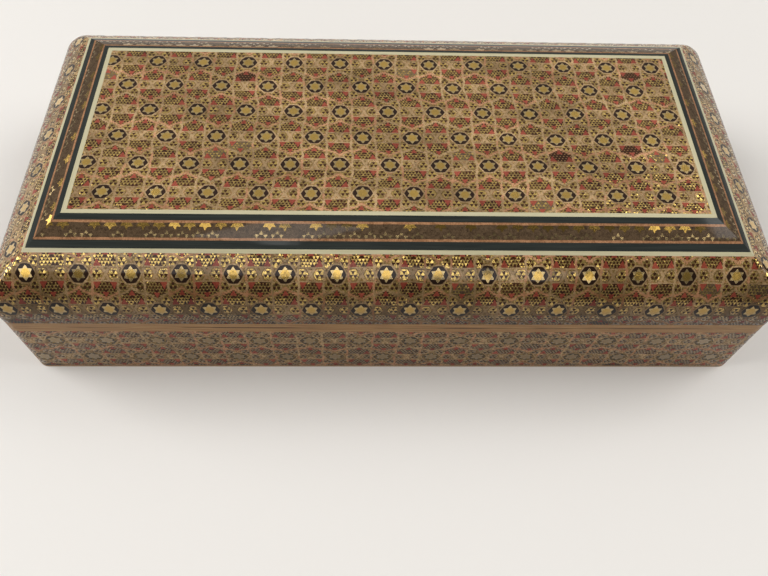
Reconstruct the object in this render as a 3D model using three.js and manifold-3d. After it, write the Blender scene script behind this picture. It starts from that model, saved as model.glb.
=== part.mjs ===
// A khatam jewelry box: a low wooden box, veneered all over with mosaic sheets, with a hinged lid.
//
// The lid is a board held in four shaped rails. A flat mosaic panel lies on top, framed by mitred
// strips that fall away in a shallow bevel, and from there the mosaic rolls over to the rim.
// The base is a board with four walls standing on it. Both rims are banded in light wood, and two
// brass butt hinges sit in a groove along the back. The slopes of that groove stop the open lid.
//
// Millimetres. The origin is the middle of the underside, +X runs along the box and +Y goes back to
// the hinges, so the front is at -Y.

import * as THREE from 'three';
import { mergeVertices } from 'three/addons/utils/BufferGeometryUtils.js';
import Module from 'manifold-3d';

const wasm = await Module();
wasm.setup();

// Overall sizes
const LENGTH = 200; // over the foot, left to right
const DEPTH = 95.7; // over the foot, front to back
const BASE_HEIGHT = 24.1; // table to parting line
const LID_HEIGHT = 23; // parting line to the mosaic panel
const BASE_FLARE = 0.6; // how far the foot stands out past the rim

// Walls and boards
const WALL = 7.5; // rim thickness, core and mosaic together
const KHATAM = 1.5; // thickness of the mosaic sheets and of the strips beside them
const LIP = 2.2; // height of the light wood banding on each rim
const FLOOR_EDGE = 0.8; // edge of the floor board that shows under the mosaic
const FLOOR = 3.2; // thickness of the floor board
const LID_BOARD = 5.5; // thickness of the lid board
const REBATE = 3; // width and height of the rails' rebate for the lid board
const RIM_RADIUS = 5; // upright corners at the rims
const FOOT_RADIUS = 3.5; // upright corners at the foot

// Lid moulding, measured from the edge of the framed panel outwards
const END_MARGIN = 20.6; // panel edge to rim, at the two ends
const SIDE_MARGIN = 18.8; // panel edge to rim, at the front and back
const INNER_WHITE = 1.15; // white line round the panel
const INNER_BLACK = 1.63;
const BORDER = 4.78; // mosaic band with an orange line glued along each edge
const OUTER_BLACK = 2.01;
const OUTER_WHITE = 1.05;
const BEVEL_START = THREE.MathUtils.degToRad(17.8); // slope where the strips leave the flat panel
const BEVEL_END = THREE.MathUtils.degToRad(30.2); // slope where they meet the shoulder
const SHOULDER_DROP = 13.8; // height of the curve that rolls over to the upright rim
const SHOULDER_START = 6.5; // handle of that curve along the bevel
const SHOULDER_END = 7.6; // handle of that curve along the upright side
const SHOULDER_STEPS = 12;
const CORNER_STEPS = 4; // facets on half of a rounded corner

// Hollow of the lid
const COVE_HEIGHT = 7.2; // height of the hollow's rounded edge
const COVE_WIDTH = 8; // width of the hollow's rounded edge
const COVE_STEPS = 6;

// Velvet linings
const LINING = 1.2; // velvet glued on card
const LINING_SHORT = 1; // the linings stop this far short of the rims
const FIT_GAP = 0.3; // room round pieces that are dropped in
const PAD = 2.4; // floor pad at its edge
const PAD_CROWN = 0.6; // rise of the floor pad to its middle
const PAD_ROUND = 1.2; // rounding of the floor pad's edge
const PAD_RINGS = 4;

// Hinges
const HINGE_SPACING = 110; // middle to middle
const HINGE_WIDTH = 18;
const HINGE_INSET = 1.5; // pin line to the back face
const LEAF = 0.7; // leaf thickness
const LEAF_REACH = 5; // pin line to the leaf's inner edge
const KNUCKLE_RADIUS = 1.25;
const PIN_RADIUS = 0.6;
const PIN_PLAY = 0.1; // radial, in the lid leaf's knuckles
const PIN_HEAD_RADIUS = 0.95;
const PIN_HEAD = 0.35;
const KNUCKLES = 3; // two on the lid leaf, with the base leaf's one between them
const OPEN_ANGLE = 100; // degrees, where the sloped back edges meet
const STOP_GAP = 0.5; // degrees left between the slopes when the lid is open
const ROUND_SIDES = 16;

// Sizes worked out from the ones above
const PANEL_X = LENGTH / 2 - BASE_FLARE - END_MARGIN; // half the framed panel
const PANEL_Y = DEPTH / 2 - BASE_FLARE - SIDE_MARGIN;
const BEVEL = INNER_BLACK + BORDER + OUTER_BLACK + OUTER_WHITE; // along the slope
const BACK_FACE = PANEL_Y + SIDE_MARGIN;
const KNUCKLE = HINGE_WIDTH / KNUCKLES;

const SIDES = ['front', 'right', 'back', 'left'];
const COLORS = {
  field: 0x85694c, side: 0x7c6548, border: 0x54463a, black: 0x33342f, white: 0xc4bb98,
  lightWood: 0xb39169, core: 0x9a7650, brass: 0xc9a24e, velvet: 0x6b1524,
};

function finish(color, roughness, metalness = 0) {
  return new THREE.MeshStandardMaterial({ color, roughness, metalness });
}

const finishes = {
  field: finish(COLORS.field, 0.18), side: finish(COLORS.side, 0.18), border: finish(COLORS.border, 0.18),
  black: finish(COLORS.black, 0.15), white: finish(COLORS.white, 0.2),
  lightWood: finish(COLORS.lightWood, 0.3), core: finish(COLORS.core, 0.6),
  brass: finish(COLORS.brass, 0.3, 1), velvet: finish(COLORS.velvet, 0.95),
};

function part(name, geometry, material) {
  const mesh = new THREE.Mesh(geometry, material);
  mesh.name = name;
  return mesh;
}

// A point of a cross-section: how far it stands out from the framed panel at the ends and at the
// front and back, its height, and the radius that it is carried round the corners with.
function at(end, side, z, radius = 0) {
  return { end, side, z, radius };
}

// The same distance out from the panel on all four sides.
function even(out, z, radius = 0) {
  return at(out, out, z, radius);
}

// In from the rim by one distance all round.
function inRim(inset, z, radius = 0) {
  return at(END_MARGIN - inset, SIDE_MARGIN - inset, z, radius);
}

// Closes a mesh: points that coincide become one, triangles that shrink to a line are dropped, and
// the faces are turned outwards.
function closed(loose) {
  const bare = new THREE.BufferGeometry();
  bare.setAttribute('position', loose.getAttribute('position'));
  if (loose.getIndex()) bare.setIndex(loose.getIndex());
  const merged = mergeVertices(bare, 1e-5);
  const position = merged.getAttribute('position');
  const index = merged.getIndex().array;
  const kept = [];
  let volume = 0;
  const [a, b, c] = [new THREE.Vector3(), new THREE.Vector3(), new THREE.Vector3()];
  for (let i = 0; i < index.length; i += 3) {
    const [p, q, r] = [index[i], index[i + 1], index[i + 2]];
    if (p === q || q === r || r === p) continue;
    kept.push(p, q, r);
    a.fromBufferAttribute(position, p);
    b.fromBufferAttribute(position, q);
    c.fromBufferAttribute(position, r);
    volume += a.dot(b.cross(c));
  }
  merged.setIndex(volume < 0 ? kept.reverse() : kept);
  merged.computeVertexNormals();
  return merged;
}

function solid(points, triangles) {
  const loose = new THREE.BufferGeometry();
  loose.setAttribute('position', new THREE.Float32BufferAttribute(points.flat(), 3));
  loose.setIndex(triangles.flat());
  return closed(loose);
}

// Where a cross-section point lies on one side of the box. across is measured along that side, out
// is towards the viewer who faces it.
function place(side, across, out, z) {
  if (side === 'front') return [across, -out, z];
  if (side === 'right') return [out, across, z];
  if (side === 'back') return [-across, out, z];
  return [-out, -across, z];
}

// The stations of one side: round the corner from the left mitre, then into the right mitre.
function stations(side, point, steps) {
  const atEnd = side === 'left' || side === 'right';
  const halfAcross = atEnd ? PANEL_Y + point.side : PANEL_X + point.end;
  const halfOut = atEnd ? PANEL_X + point.end : PANEL_Y + point.side;
  const row = [];
  for (const hand of [-1, 1]) {
    for (let i = 0; i <= steps; i++) {
      const turn = (Math.PI / 4) * (hand < 0 ? 1 - i / steps : i / steps);
      const across = halfAcross - point.radius + point.radius * Math.sin(turn);
      const out = halfOut - point.radius + point.radius * Math.cos(turn);
      row.push(place(side, hand * across, out, point.z));
    }
  }
  return row;
}

// One side of a frame: a closed cross-section carried along the side and cut at both mitres. The
// mitre's own outline lies further in, because the corner there is rounded.
function frameSide(side, section, steps) {
  const line = [...section];
  const mitre = section.map(({ side: out, z, radius }) => new THREE.Vector2(out - radius * (1 - Math.SQRT1_2), z));
  if (!THREE.ShapeUtils.isClockWise(mitre)) {
    line.reverse();
    mitre.reverse();
  }
  const rows = line.map((point) => stations(side, point, steps));
  const width = rows[0].length;
  const triangles = [];
  for (let i = 0; i < rows.length; i++) {
    const next = (i + 1) % rows.length;
    for (let j = 0; j + 1 < width; j++) {
      const [a, b] = [i * width + j, next * width + j];
      triangles.push([a, b + 1, b], [a, a + 1, b + 1]);
    }
  }
  for (const [p, q, r] of THREE.ShapeUtils.triangulateShape(mitre, [])) {
    const last = width - 1;
    triangles.push([p * width, r * width, q * width]);
    triangles.push([p * width + last, q * width + last, r * width + last]);
  }
  return solid(rows.flat(), triangles);
}

// The whole loop of one cross-section point, all the way round the box.
function loop(point, steps) {
  return SIDES.flatMap((side) => stations(side, point, steps).slice(0, -1));
}

// Loops joined one to the next. A ring closes on its first loop; otherwise both ends are capped.
function skin(section, steps, ring = false) {
  const loops = section.map((point) => loop(point, steps));
  const width = loops[0].length;
  const triangles = [];
  for (let i = 0; i < (ring ? loops.length : loops.length - 1); i++) {
    const next = (i + 1) % loops.length;
    for (let j = 0; j < width; j++) {
      const k = (j + 1) % width;
      const [a, b, c, d] = [i * width + j, next * width + j, next * width + k, i * width + k];
      triangles.push([a, b, c], [a, c, d]);
    }
  }
  if (!ring) {
    const last = (loops.length - 1) * width;
    for (let j = 1; j + 1 < width; j++) {
      triangles.push([0, j, j + 1], [last, last + j + 1, last + j]);
    }
  }
  return solid(loops.flat(), triangles);
}

// Joining and cutting
function toManifold(geometry) {
  const body = closed(geometry);
  return new wasm.Manifold(new wasm.Mesh({
    numProp: 3,
    vertProperties: new Float32Array(body.getAttribute('position').array),
    triVerts: new Uint32Array(body.getIndex().array),
  }));
}

function fromManifold(body) {
  const mesh = body.getMesh();
  const geometry = new THREE.BufferGeometry();
  geometry.setAttribute('position', new THREE.Float32BufferAttribute(mesh.vertProperties, 3));
  geometry.setIndex(Array.from(mesh.triVerts));
  geometry.computeVertexNormals();
  return geometry;
}

function cut(geometry, cutters) {
  return fromManifold(cutters.reduce((body, cutter) => body.subtract(toManifold(cutter)), toManifold(geometry)));
}

function join(geometries) {
  const [first, ...others] = geometries.map(toManifold);
  return fromManifold(others.reduce((body, other) => body.add(other), first));
}

function block(x0, x1, y0, y1, z0, z1) {
  const box = new THREE.BoxGeometry(x1 - x0, y1 - y0, z1 - z0);
  return box.translate((x0 + x1) / 2, (y0 + y1) / 2, (z0 + z1) / 2);
}

// A turned shape lying along X. The profile gives [along X, radius] pairs.
function turnedAlongX(profile) {
  const points = profile.map(([along, radius]) => new THREE.Vector2(radius, along));
  return new THREE.LatheGeometry(points, ROUND_SIDES).rotateZ(-Math.PI / 2);
}

// An outline in the Y-Z plane, drawn out along X on both sides of the middle.
function prismAlongX(outline, halfLength) {
  const shape = new THREE.Shape(outline.map(([y, z]) => new THREE.Vector2(y, z)));
  const prism = new THREE.ExtrudeGeometry(shape, { depth: 2 * halfLength, bevelEnabled: false });
  const axes = new THREE.Matrix4().makeBasis(
    new THREE.Vector3(0, 1, 0), new THREE.Vector3(0, 0, 1), new THREE.Vector3(1, 0, 0));
  return prism.applyMatrix4(axes).translate(-halfLength, 0, 0);
}

// Lid, with its own zero at the parting line.
//
// The bevel is a circular arc. along is measured down the slope from the panel's edge.
function bevel(along) {
  const radius = BEVEL / (BEVEL_END - BEVEL_START);
  const slope = BEVEL_START + along / radius;
  return {
    out: radius * (Math.sin(slope) - Math.sin(BEVEL_START)),
    drop: radius * (Math.cos(BEVEL_START) - Math.cos(slope)),
    lean: (BEVEL_END * along) / BEVEL, // upright at the panel, square to the slope at the shoulder
  };
}

function bevelTop(along) {
  const { out, drop } = bevel(along);
  return even(out, LID_HEIGHT - drop);
}

function bevelUnder(along) {
  const { out, drop, lean } = bevel(along);
  return even(out - KHATAM * Math.sin(lean), LID_HEIGHT - drop - KHATAM * Math.cos(lean));
}

function bevelStrip(from, to) {
  const middle = (from + to) / 2;
  return [
    bevelTop(from), bevelTop(middle), bevelTop(to), bevelUnder(to), bevelUnder(middle), bevelUnder(from),
  ];
}

// The shoulder leaves the bevel on its slope and ends upright. Both curves share their heights, so
// they meet at the mitres.
function shoulderCurve(margin) {
  const { out, drop } = bevel(BEVEL);
  const foot = drop + SHOULDER_DROP;
  return new THREE.CubicBezierCurve(
    new THREE.Vector2(out, drop),
    new THREE.Vector2(out + SHOULDER_START * Math.cos(BEVEL_END), drop + SHOULDER_START * Math.sin(BEVEL_END)),
    new THREE.Vector2(margin, foot - SHOULDER_END),
    new THREE.Vector2(margin, foot));
}

const endShoulder = shoulderCurve(END_MARGIN);
const sideShoulder = shoulderCurve(SIDE_MARGIN);

// The rounding of the upright corners grows from nothing at the strips to the rim's radius.
function shoulder(t, depth) {
  const end = endShoulder.getPoint(t);
  const side = sideShoulder.getPoint(t);
  const tangent = sideShoulder.getTangent(t);
  const spread = (side.x - bevel(BEVEL).out) / (SIDE_MARGIN - bevel(BEVEL).out);
  const radius = Math.max(RIM_RADIUS * spread - depth * tangent.y, 0);
  const inward = depth * tangent.y;
  return at(end.x - inward, side.x - inward, LID_HEIGHT - side.y - depth * tangent.x, radius);
}

function shoulderLine(depth) {
  const line = [];
  for (let i = 0; i <= SHOULDER_STEPS; i++) line.push(shoulder(i / SHOULDER_STEPS, depth));
  line.push(inRim(depth, LIP, RIM_RADIUS - depth));
  return line;
}

// The hollow's rounded edge, a quarter of an ellipse, as seen from inside the lid.
function cove(inset, grow, foot) {
  const ceiling = LID_HEIGHT - KHATAM - LID_BOARD - grow;
  const line = [inRim(inset + grow, foot)];
  for (let i = 0; i <= COVE_STEPS; i++) {
    const turn = (Math.PI / 2) * (i / COVE_STEPS);
    const inwards = (COVE_WIDTH - grow) * (1 - Math.cos(turn));
    const z = ceiling - (COVE_HEIGHT - grow) * (1 - Math.sin(turn));
    line.push(inRim(inset + grow + inwards, z));
  }
  return line;
}

function railSection() {
  const boardTop = LID_HEIGHT - KHATAM;
  const marks = [0, INNER_BLACK, INNER_BLACK + BORDER, INNER_BLACK + BORDER + OUTER_BLACK];
  const under = marks.flatMap((mark, i) => {
    const next = i + 1 < marks.length ? marks[i + 1] : BEVEL;
    return [bevelUnder(mark), bevelUnder((mark + next) / 2)];
  });
  return [
    ...under, ...shoulderLine(KHATAM), ...cove(WALL, 0, LIP),
    even(-REBATE, boardTop - LID_BOARD), even(-REBATE, boardTop - REBATE), even(0, boardTop - REBATE),
  ];
}

function lidBoard() {
  const top = LID_HEIGHT - KHATAM;
  return skin([
    even(-REBATE, top - LID_BOARD), even(-REBATE, top - REBATE), even(0, top - REBATE), even(0, top),
  ], 1);
}

function lidLining() {
  const outside = cove(WALL, 0, LINING_SHORT).map((p) => ({ ...p, radius: 0 }));
  const inside = cove(WALL, LINING, LINING_SHORT);
  return skin([...outside.reverse(), ...inside], 1);
}

function lipSection(bottom) {
  return [
    inRim(0, bottom, RIM_RADIUS), inRim(0, bottom + LIP, RIM_RADIUS), inRim(WALL, bottom + LIP), inRim(WALL, bottom),
  ];
}

// Groove, pockets and knuckle beds of the hinges, about the pin line, for a rim that lies above it
// (up = 1) or below it (up = -1).
function hingeCutters(up) {
  const slope = THREE.MathUtils.degToRad(OPEN_ANGLE / 2 + STOP_GAP / 2);
  const reach = HINGE_INSET + KNUCKLE_RADIUS;
  const groove = prismAlongX([[0, 0], [reach, -reach * Math.tan(slope)], [reach, reach * Math.tan(slope)]], LENGTH);
  const cutters = [groove];
  const leafHalf = HINGE_WIDTH / 2 + FIT_GAP;
  const bedHalf = leafHalf + PIN_HEAD;
  const bed = KNUCKLE_RADIUS + FIT_GAP;
  for (const middle of [-HINGE_SPACING / 2, HINGE_SPACING / 2]) {
    const pocket = block(middle - leafHalf, middle + leafHalf, -LEAF_REACH - FIT_GAP, 0, -LEAF, LEAF);
    const bedRound = turnedAlongX([[-bedHalf, 0], [-bedHalf, bed], [bedHalf, bed], [bedHalf, 0]]);
    cutters.push(pocket, bedRound.translate(middle, 0, 0));
  }
  return cutters.map((cutter) => cutter.translate(0, BACK_FACE - HINGE_INSET, up > 0 ? 0 : BASE_HEIGHT));
}

function buildLid() {
  const lid = new THREE.Group();
  lid.position.z = BASE_HEIGHT;
  const top = LID_HEIGHT;
  const fieldX = PANEL_X - INNER_WHITE;
  const fieldY = PANEL_Y - INNER_WHITE;
  lid.add(part('lid_board', lidBoard(), finishes.core));
  lid.add(part('khatam_field', block(-fieldX, fieldX, -fieldY, fieldY, top - KHATAM, top), finishes.field));
  lid.add(part('lid_lining', lidLining(), finishes.velvet));

  const borderStart = INNER_BLACK;
  const outerStart = borderStart + BORDER;
  const whiteStart = outerStart + OUTER_BLACK;
  const whiteLine = [
    even(-INNER_WHITE, top), even(0, top), even(0, top - KHATAM), even(-INNER_WHITE, top - KHATAM),
  ];
  const rollover = [...shoulderLine(0), ...shoulderLine(KHATAM).reverse()];
  for (const side of SIDES) {
    lid.add(part(`inner_white_line_${side}`, frameSide(side, whiteLine, 1), finishes.white));
    lid.add(part(`inner_black_strip_${side}`, frameSide(side, bevelStrip(0, borderStart), 1), finishes.black));
    lid.add(part(`khatam_border_${side}`, frameSide(side, bevelStrip(borderStart, outerStart), 1), finishes.border));
    lid.add(part(`outer_black_strip_${side}`, frameSide(side, bevelStrip(outerStart, whiteStart), 1), finishes.black));
    lid.add(part(`outer_white_line_${side}`, frameSide(side, bevelStrip(whiteStart, BEVEL), 1), finishes.white));
    lid.add(part(`lid_khatam_${side}`, frameSide(side, rollover, CORNER_STEPS), finishes.side));
    lid.add(part(`lid_rail_${side}`, frameSide(side, railSection(), CORNER_STEPS), finishes.core));
    const lip = frameSide(side, lipSection(0), CORNER_STEPS);
    lid.add(part(`lid_lip_${side}`, side === 'front' ? lip : cut(lip, hingeCutters(1)), finishes.lightWood));
  }
  return lid;
}

// Base. The outside leans out a little from the rim to the foot.
function onWall(depth, z) {
  const down = 1 - z / BASE_HEIGHT;
  const radius = THREE.MathUtils.lerp(RIM_RADIUS, FOOT_RADIUS, down) - depth;
  return inRim(depth - BASE_FLARE * down, z, radius);
}

function floorPad() {
  const inset = WALL + LINING + FIT_GAP;
  const line = [inRim(inset, FLOOR)];
  for (let i = 0; i <= PAD_RINGS; i++) {
    const turn = (Math.PI / 2) * (i / PAD_RINGS);
    const z = FLOOR + PAD - PAD_ROUND * (1 - Math.sin(turn));
    line.push(inRim(inset + PAD_ROUND * (1 - Math.cos(turn)), z));
  }
  const flat = SIDE_MARGIN + PANEL_Y - inset - PAD_ROUND;
  for (let i = 1; i <= PAD_RINGS; i++) {
    const share = i / (PAD_RINGS + 1);
    line.push(inRim(inset + PAD_ROUND + flat * share, FLOOR + PAD + PAD_CROWN * Math.sin((Math.PI / 2) * share)));
  }
  return skin(line, 1);
}

function buildBase() {
  const base = new THREE.Group();
  const lipFoot = BASE_HEIGHT - LIP;
  const board = skin([
    onWall(0, 0), onWall(0, FLOOR_EDGE), onWall(KHATAM, FLOOR_EDGE), onWall(KHATAM, FLOOR),
  ], CORNER_STEPS);
  base.add(part('floor_board', board, finishes.core));
  base.add(part('floor_pad', floorPad(), finishes.velvet));
  const liningTop = BASE_HEIGHT - LINING_SHORT;
  const lining = skin([
    inRim(WALL, FLOOR), inRim(WALL, liningTop), inRim(WALL + LINING, liningTop), inRim(WALL + LINING, FLOOR),
  ], 1, true);
  base.add(part('wall_lining', lining, finishes.velvet));

  const sheet = [
    onWall(0, FLOOR_EDGE), onWall(0, lipFoot), onWall(KHATAM, lipFoot), onWall(KHATAM, FLOOR),
    onWall(KHATAM, FLOOR_EDGE),
  ];
  const wall = [onWall(KHATAM, FLOOR), onWall(KHATAM, lipFoot), inRim(WALL, lipFoot), inRim(WALL, FLOOR)];
  const lipLine = [
    onWall(0, lipFoot), inRim(0, BASE_HEIGHT, RIM_RADIUS), inRim(WALL, BASE_HEIGHT), inRim(WALL, lipFoot),
  ];
  for (const side of SIDES) {
    base.add(part(`base_khatam_${side}`, frameSide(side, sheet, CORNER_STEPS), finishes.side));
    base.add(part(`base_wall_${side}`, frameSide(side, wall, CORNER_STEPS), finishes.core));
    const lip = frameSide(side, lipLine, CORNER_STEPS);
    base.add(part(`base_lip_${side}`, side === 'front' ? lip : cut(lip, hingeCutters(-1)), finishes.lightWood));
  }
  return base;
}

// Hinges, about their own pin line. A leaf is a plate with rolled knuckles: the base leaf has the
// middle one and the lid leaf the outer two, each a little short so that they turn past each other.
function leaf(up, knuckles, bore) {
  const [z0, z1] = up > 0 ? [0, LEAF] : [-LEAF, 0];
  const clear = KNUCKLE_RADIUS + FIT_GAP;
  const half = HINGE_WIDTH / 2;
  const pieces = [block(-half, half, -LEAF_REACH, -clear, z0, z1)];
  for (const [from, to] of knuckles) {
    pieces.push(block(from, to, -clear - LEAF, -(bore + KNUCKLE_RADIUS) / 2, z0, z1));
    pieces.push(turnedAlongX([
      [from, bore], [from, KNUCKLE_RADIUS], [to, KNUCKLE_RADIUS], [to, bore], [from, bore],
    ]));
  }
  return join(pieces);
}

function buildHinge(name, x) {
  const hinge = new THREE.Group();
  hinge.position.set(x, BACK_FACE - HINGE_INSET, BASE_HEIGHT);
  const half = HINGE_WIDTH / 2;
  const inner = KNUCKLE / 2;
  const lidKnuckles = [[-half, -inner - FIT_GAP / 2], [inner + FIT_GAP / 2, half]];
  const baseKnuckles = [[-inner + FIT_GAP / 2, inner - FIT_GAP / 2]];
  const tip = half + PIN_HEAD;
  const pin = turnedAlongX([
    [-tip, 0], [-tip, PIN_HEAD_RADIUS * 0.7], [-half - PIN_HEAD / 3, PIN_HEAD_RADIUS], [-half, PIN_HEAD_RADIUS],
    [-half, PIN_RADIUS], [half, PIN_RADIUS],
    [half, PIN_HEAD_RADIUS], [half + PIN_HEAD / 3, PIN_HEAD_RADIUS], [tip, PIN_HEAD_RADIUS * 0.7], [tip, 0],
  ]);
  hinge.add(part(`${name}_lid_leaf`, leaf(1, lidKnuckles, PIN_RADIUS + PIN_PLAY), finishes.brass));
  hinge.add(part(`${name}_base_leaf`, leaf(-1, baseKnuckles, PIN_RADIUS), finishes.brass));
  hinge.add(part(`${name}_pin`, pin, finishes.brass));
  return hinge;
}

const box = new THREE.Group();
box.add(buildBase(), buildLid());
box.add(buildHinge('hinge_left', -HINGE_SPACING / 2), buildHinge('hinge_right', HINGE_SPACING / 2));

export default box;
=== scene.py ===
# %% [markdown]
# # A khatam jewelry box
#
# Khatam is mosaic made of thin rods. Brass, bone and dyed or dark woods are drawn to triangular
# rods, glued into bundles, and the bundles are sawn across into sheets. A box is veneered with
# those sheets and flooded with clear lacquer. This file dresses a finished wooden construction,
# which comes in as a fixed frame, with that surface: every rod end is a real face of the mesh.
#
# The first cell loads the frame. Its pieces have their real size and place, so everything that is
# made here takes its measures from them.

import bpy
import numpy as np
from mathutils import Matrix, Vector


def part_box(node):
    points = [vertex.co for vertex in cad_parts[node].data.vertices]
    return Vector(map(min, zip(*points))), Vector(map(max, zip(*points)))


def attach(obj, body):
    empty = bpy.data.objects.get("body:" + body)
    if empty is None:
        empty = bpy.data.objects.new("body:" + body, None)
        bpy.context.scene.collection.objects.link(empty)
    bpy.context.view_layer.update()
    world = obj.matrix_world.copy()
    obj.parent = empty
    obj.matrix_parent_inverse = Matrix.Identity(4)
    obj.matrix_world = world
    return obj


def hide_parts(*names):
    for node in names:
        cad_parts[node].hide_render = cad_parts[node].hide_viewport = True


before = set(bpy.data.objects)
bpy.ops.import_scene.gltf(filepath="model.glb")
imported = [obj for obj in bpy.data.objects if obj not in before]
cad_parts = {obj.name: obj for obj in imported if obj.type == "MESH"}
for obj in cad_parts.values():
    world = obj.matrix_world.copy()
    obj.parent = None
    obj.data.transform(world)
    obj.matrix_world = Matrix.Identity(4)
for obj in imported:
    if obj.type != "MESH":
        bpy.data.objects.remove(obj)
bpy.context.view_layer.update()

# %% [markdown]
# Measures. The work is done in millimetres, because that is how a box maker thinks, and turned to
# metres when a mesh is made. What can be read off the frame is read off it. The rest are the few
# sizes that shape the lid's moulding.

# %% Measures
MM = 0.001


def corners(node):
    """The lowest and highest corner of a piece of the frame, in millimetres."""
    return [np.array(corner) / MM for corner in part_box(node)]


field_high = corners("khatam_field")[1]
line_low, line_high = corners("inner_white_line_front")
lip_low, lip_high = corners("lid_lip_front")
end_lip_high = corners("lid_lip_right")[1]
foot_high = corners("floor_board")[1]
base_low, base_high = corners("base_khatam_front")

PANEL_X, PANEL_Y = line_high[0], -line_low[1]  # half the flat panel, its white line included
RIM_X, RIM_Y = end_lip_high[0], -lip_low[1]  # half the box at the parting line
LID_TOP = field_high[2]
PARTING = lip_low[2]
LIP = lip_high[2] - lip_low[2]
FLARE = foot_high[0] - RIM_X  # the base leans out by this much to its foot
RIM_RADIUS, FOOT_RADIUS = 5.0, 3.5  # of the upright corners
SHEET = 1.5  # thickness of the khatam sheets

INNER_BLACK = 1.63  # widths of the strips that fall away from the panel, down the slope
BORDER = 4.78
OUTER_BLACK = 2.01
OUTER_WHITE = 1.05
BEVEL = INNER_BLACK + BORDER + OUTER_BLACK + OUTER_WHITE
BEVEL_START, BEVEL_END = np.radians(17.8), np.radians(30.2)
SHOULDER_DROP = 13.8  # height of the curve that rolls over to the rim
SHOULDER_START, SHOULDER_END = 6.5, 7.6  # handles of that curve
SIDES, ENDS = ("front", "right", "back", "left"), ("left", "right")
print("box", 2 * foot_high[0], "x", 2 * foot_high[1], "x", LID_TOP, "mm")

# %% [markdown]
# Colours are written as they look, in sRGB hex, and turned to the linear values that light is
# counted in. One small function adds a node with its settings and its links, so that each material
# below reads as a short recipe. A map range node takes its sockets by number: 0 is the value, 1
# and 2 are the range it comes in, and 3 and 4 the range it goes to.

# %% Colour and node helpers
MIX_A, MIX_B = 6, 7  # the colour sockets of a mix node, which has others of those names


def to_linear(colour):
    """An sRGB hex colour as linear red, green, blue and alpha."""
    srgb = np.array([int(colour[i:i + 2], 16) for i in (1, 3, 5)]) / 255
    linear = np.where(srgb <= 0.04045, srgb / 12.92, ((srgb + 0.055) / 1.055) ** 2.4)
    return (*linear.tolist(), 1.0)


def set_inputs(tree, node, inputs):
    """Fills each socket, by name or number, with a value, a hex colour or a link from another
    node's output. A node stands for the first of its outputs that is in use."""
    for socket, value in inputs.items():
        if isinstance(value, bpy.types.Node):
            value = next(output for output in value.outputs if output.enabled)
        if isinstance(value, bpy.types.NodeSocket):
            tree.links.new(value, node.inputs[socket])
        else:
            value = to_linear(value) if isinstance(value, str) else value
            node.inputs[socket].default_value = value


def add_node(tree, kind, inputs=None, **settings):
    """Adds a shader node with its settings, its values and its links."""
    made = tree.nodes.new("ShaderNode" + kind)
    for name, value in settings.items():
        setattr(made, name, value)
    set_inputs(tree, made, inputs or {})
    return made


def new_material(name):
    """A material with its tree, main shader and Object coordinates, which are in metres."""
    material = bpy.data.materials.new(name)
    material.use_nodes = True
    tree = material.node_tree
    place = add_node(tree, "TexCoord").outputs["Object"]
    return material, tree, tree.nodes["Principled BSDF"], place


# %% [markdown]
# The lacquer. The whole outside is flooded with a clear oil varnish, rubbed down and flooded
# again. To the eye it is one glassy skin over every rod and strip, a little uneven, so that
# reflections swim. It is a clear coat with its own slow ripple, while the wood and metal under it
# keep their own roughness.

# %% Lacquer
RIPPLE = 5 * MM  # length of the waves in the lacquer
RIPPLE_DEPTH = 0.02 * MM
LACQUER_ROUGHNESS, LACQUER_IOR = 0.07, 1.5
LACQUER_SHINE = 0.5  # rubbed and handled, it has lost half of its gloss


def lacquer(tree, shader, place):
    """Floods a finish with clear varnish. Wood under varnish has no shine of its own."""
    if not shader.inputs["Metallic"].default_value:
        shader.inputs["Specular IOR Level"].default_value = 0.0
    ripple = add_node(tree, "TexNoise", {"Vector": place, "Scale": 1 / RIPPLE, "Detail": 1.0})
    skin = add_node(tree, "Bump", {"Height": ripple, "Distance": RIPPLE_DEPTH, "Strength": 1.0})
    set_inputs(tree, shader, {
        "Coat Normal": skin, "Coat Weight": LACQUER_SHINE,
        "Coat Roughness": LACQUER_ROUGHNESS, "Coat IOR": LACQUER_IOR})


# %% [markdown]
# Rod finishes. Each rod end carries two values made with the mesh: shade says where between its
# darker and its lighter tone it lies, and tilt is a slight lean of its polished face. Wood and
# bone only use the shade. Brass uses both: rods that lean towards a lamp flash, and their
# neighbours stay dull, which makes a khatam box sparkle as it turns. A third value, rim, lies on
# the points: it is 1 at the corners of a dot, which are filled with glue.
# On the lid's sides the shade value also holds painted shade, darker towards the rim.

# %% Rod finishes
ROD_GRAIN = 0.25 * MM  # fine mottling within one rod end, as coarse as it needs to show
DOT_GLUE = "#8A6A40"
RIM_BARE, RIM_GLUED = 0.5, 0.7  # a dot is bare below the one rim value, and glue above the other


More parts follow.
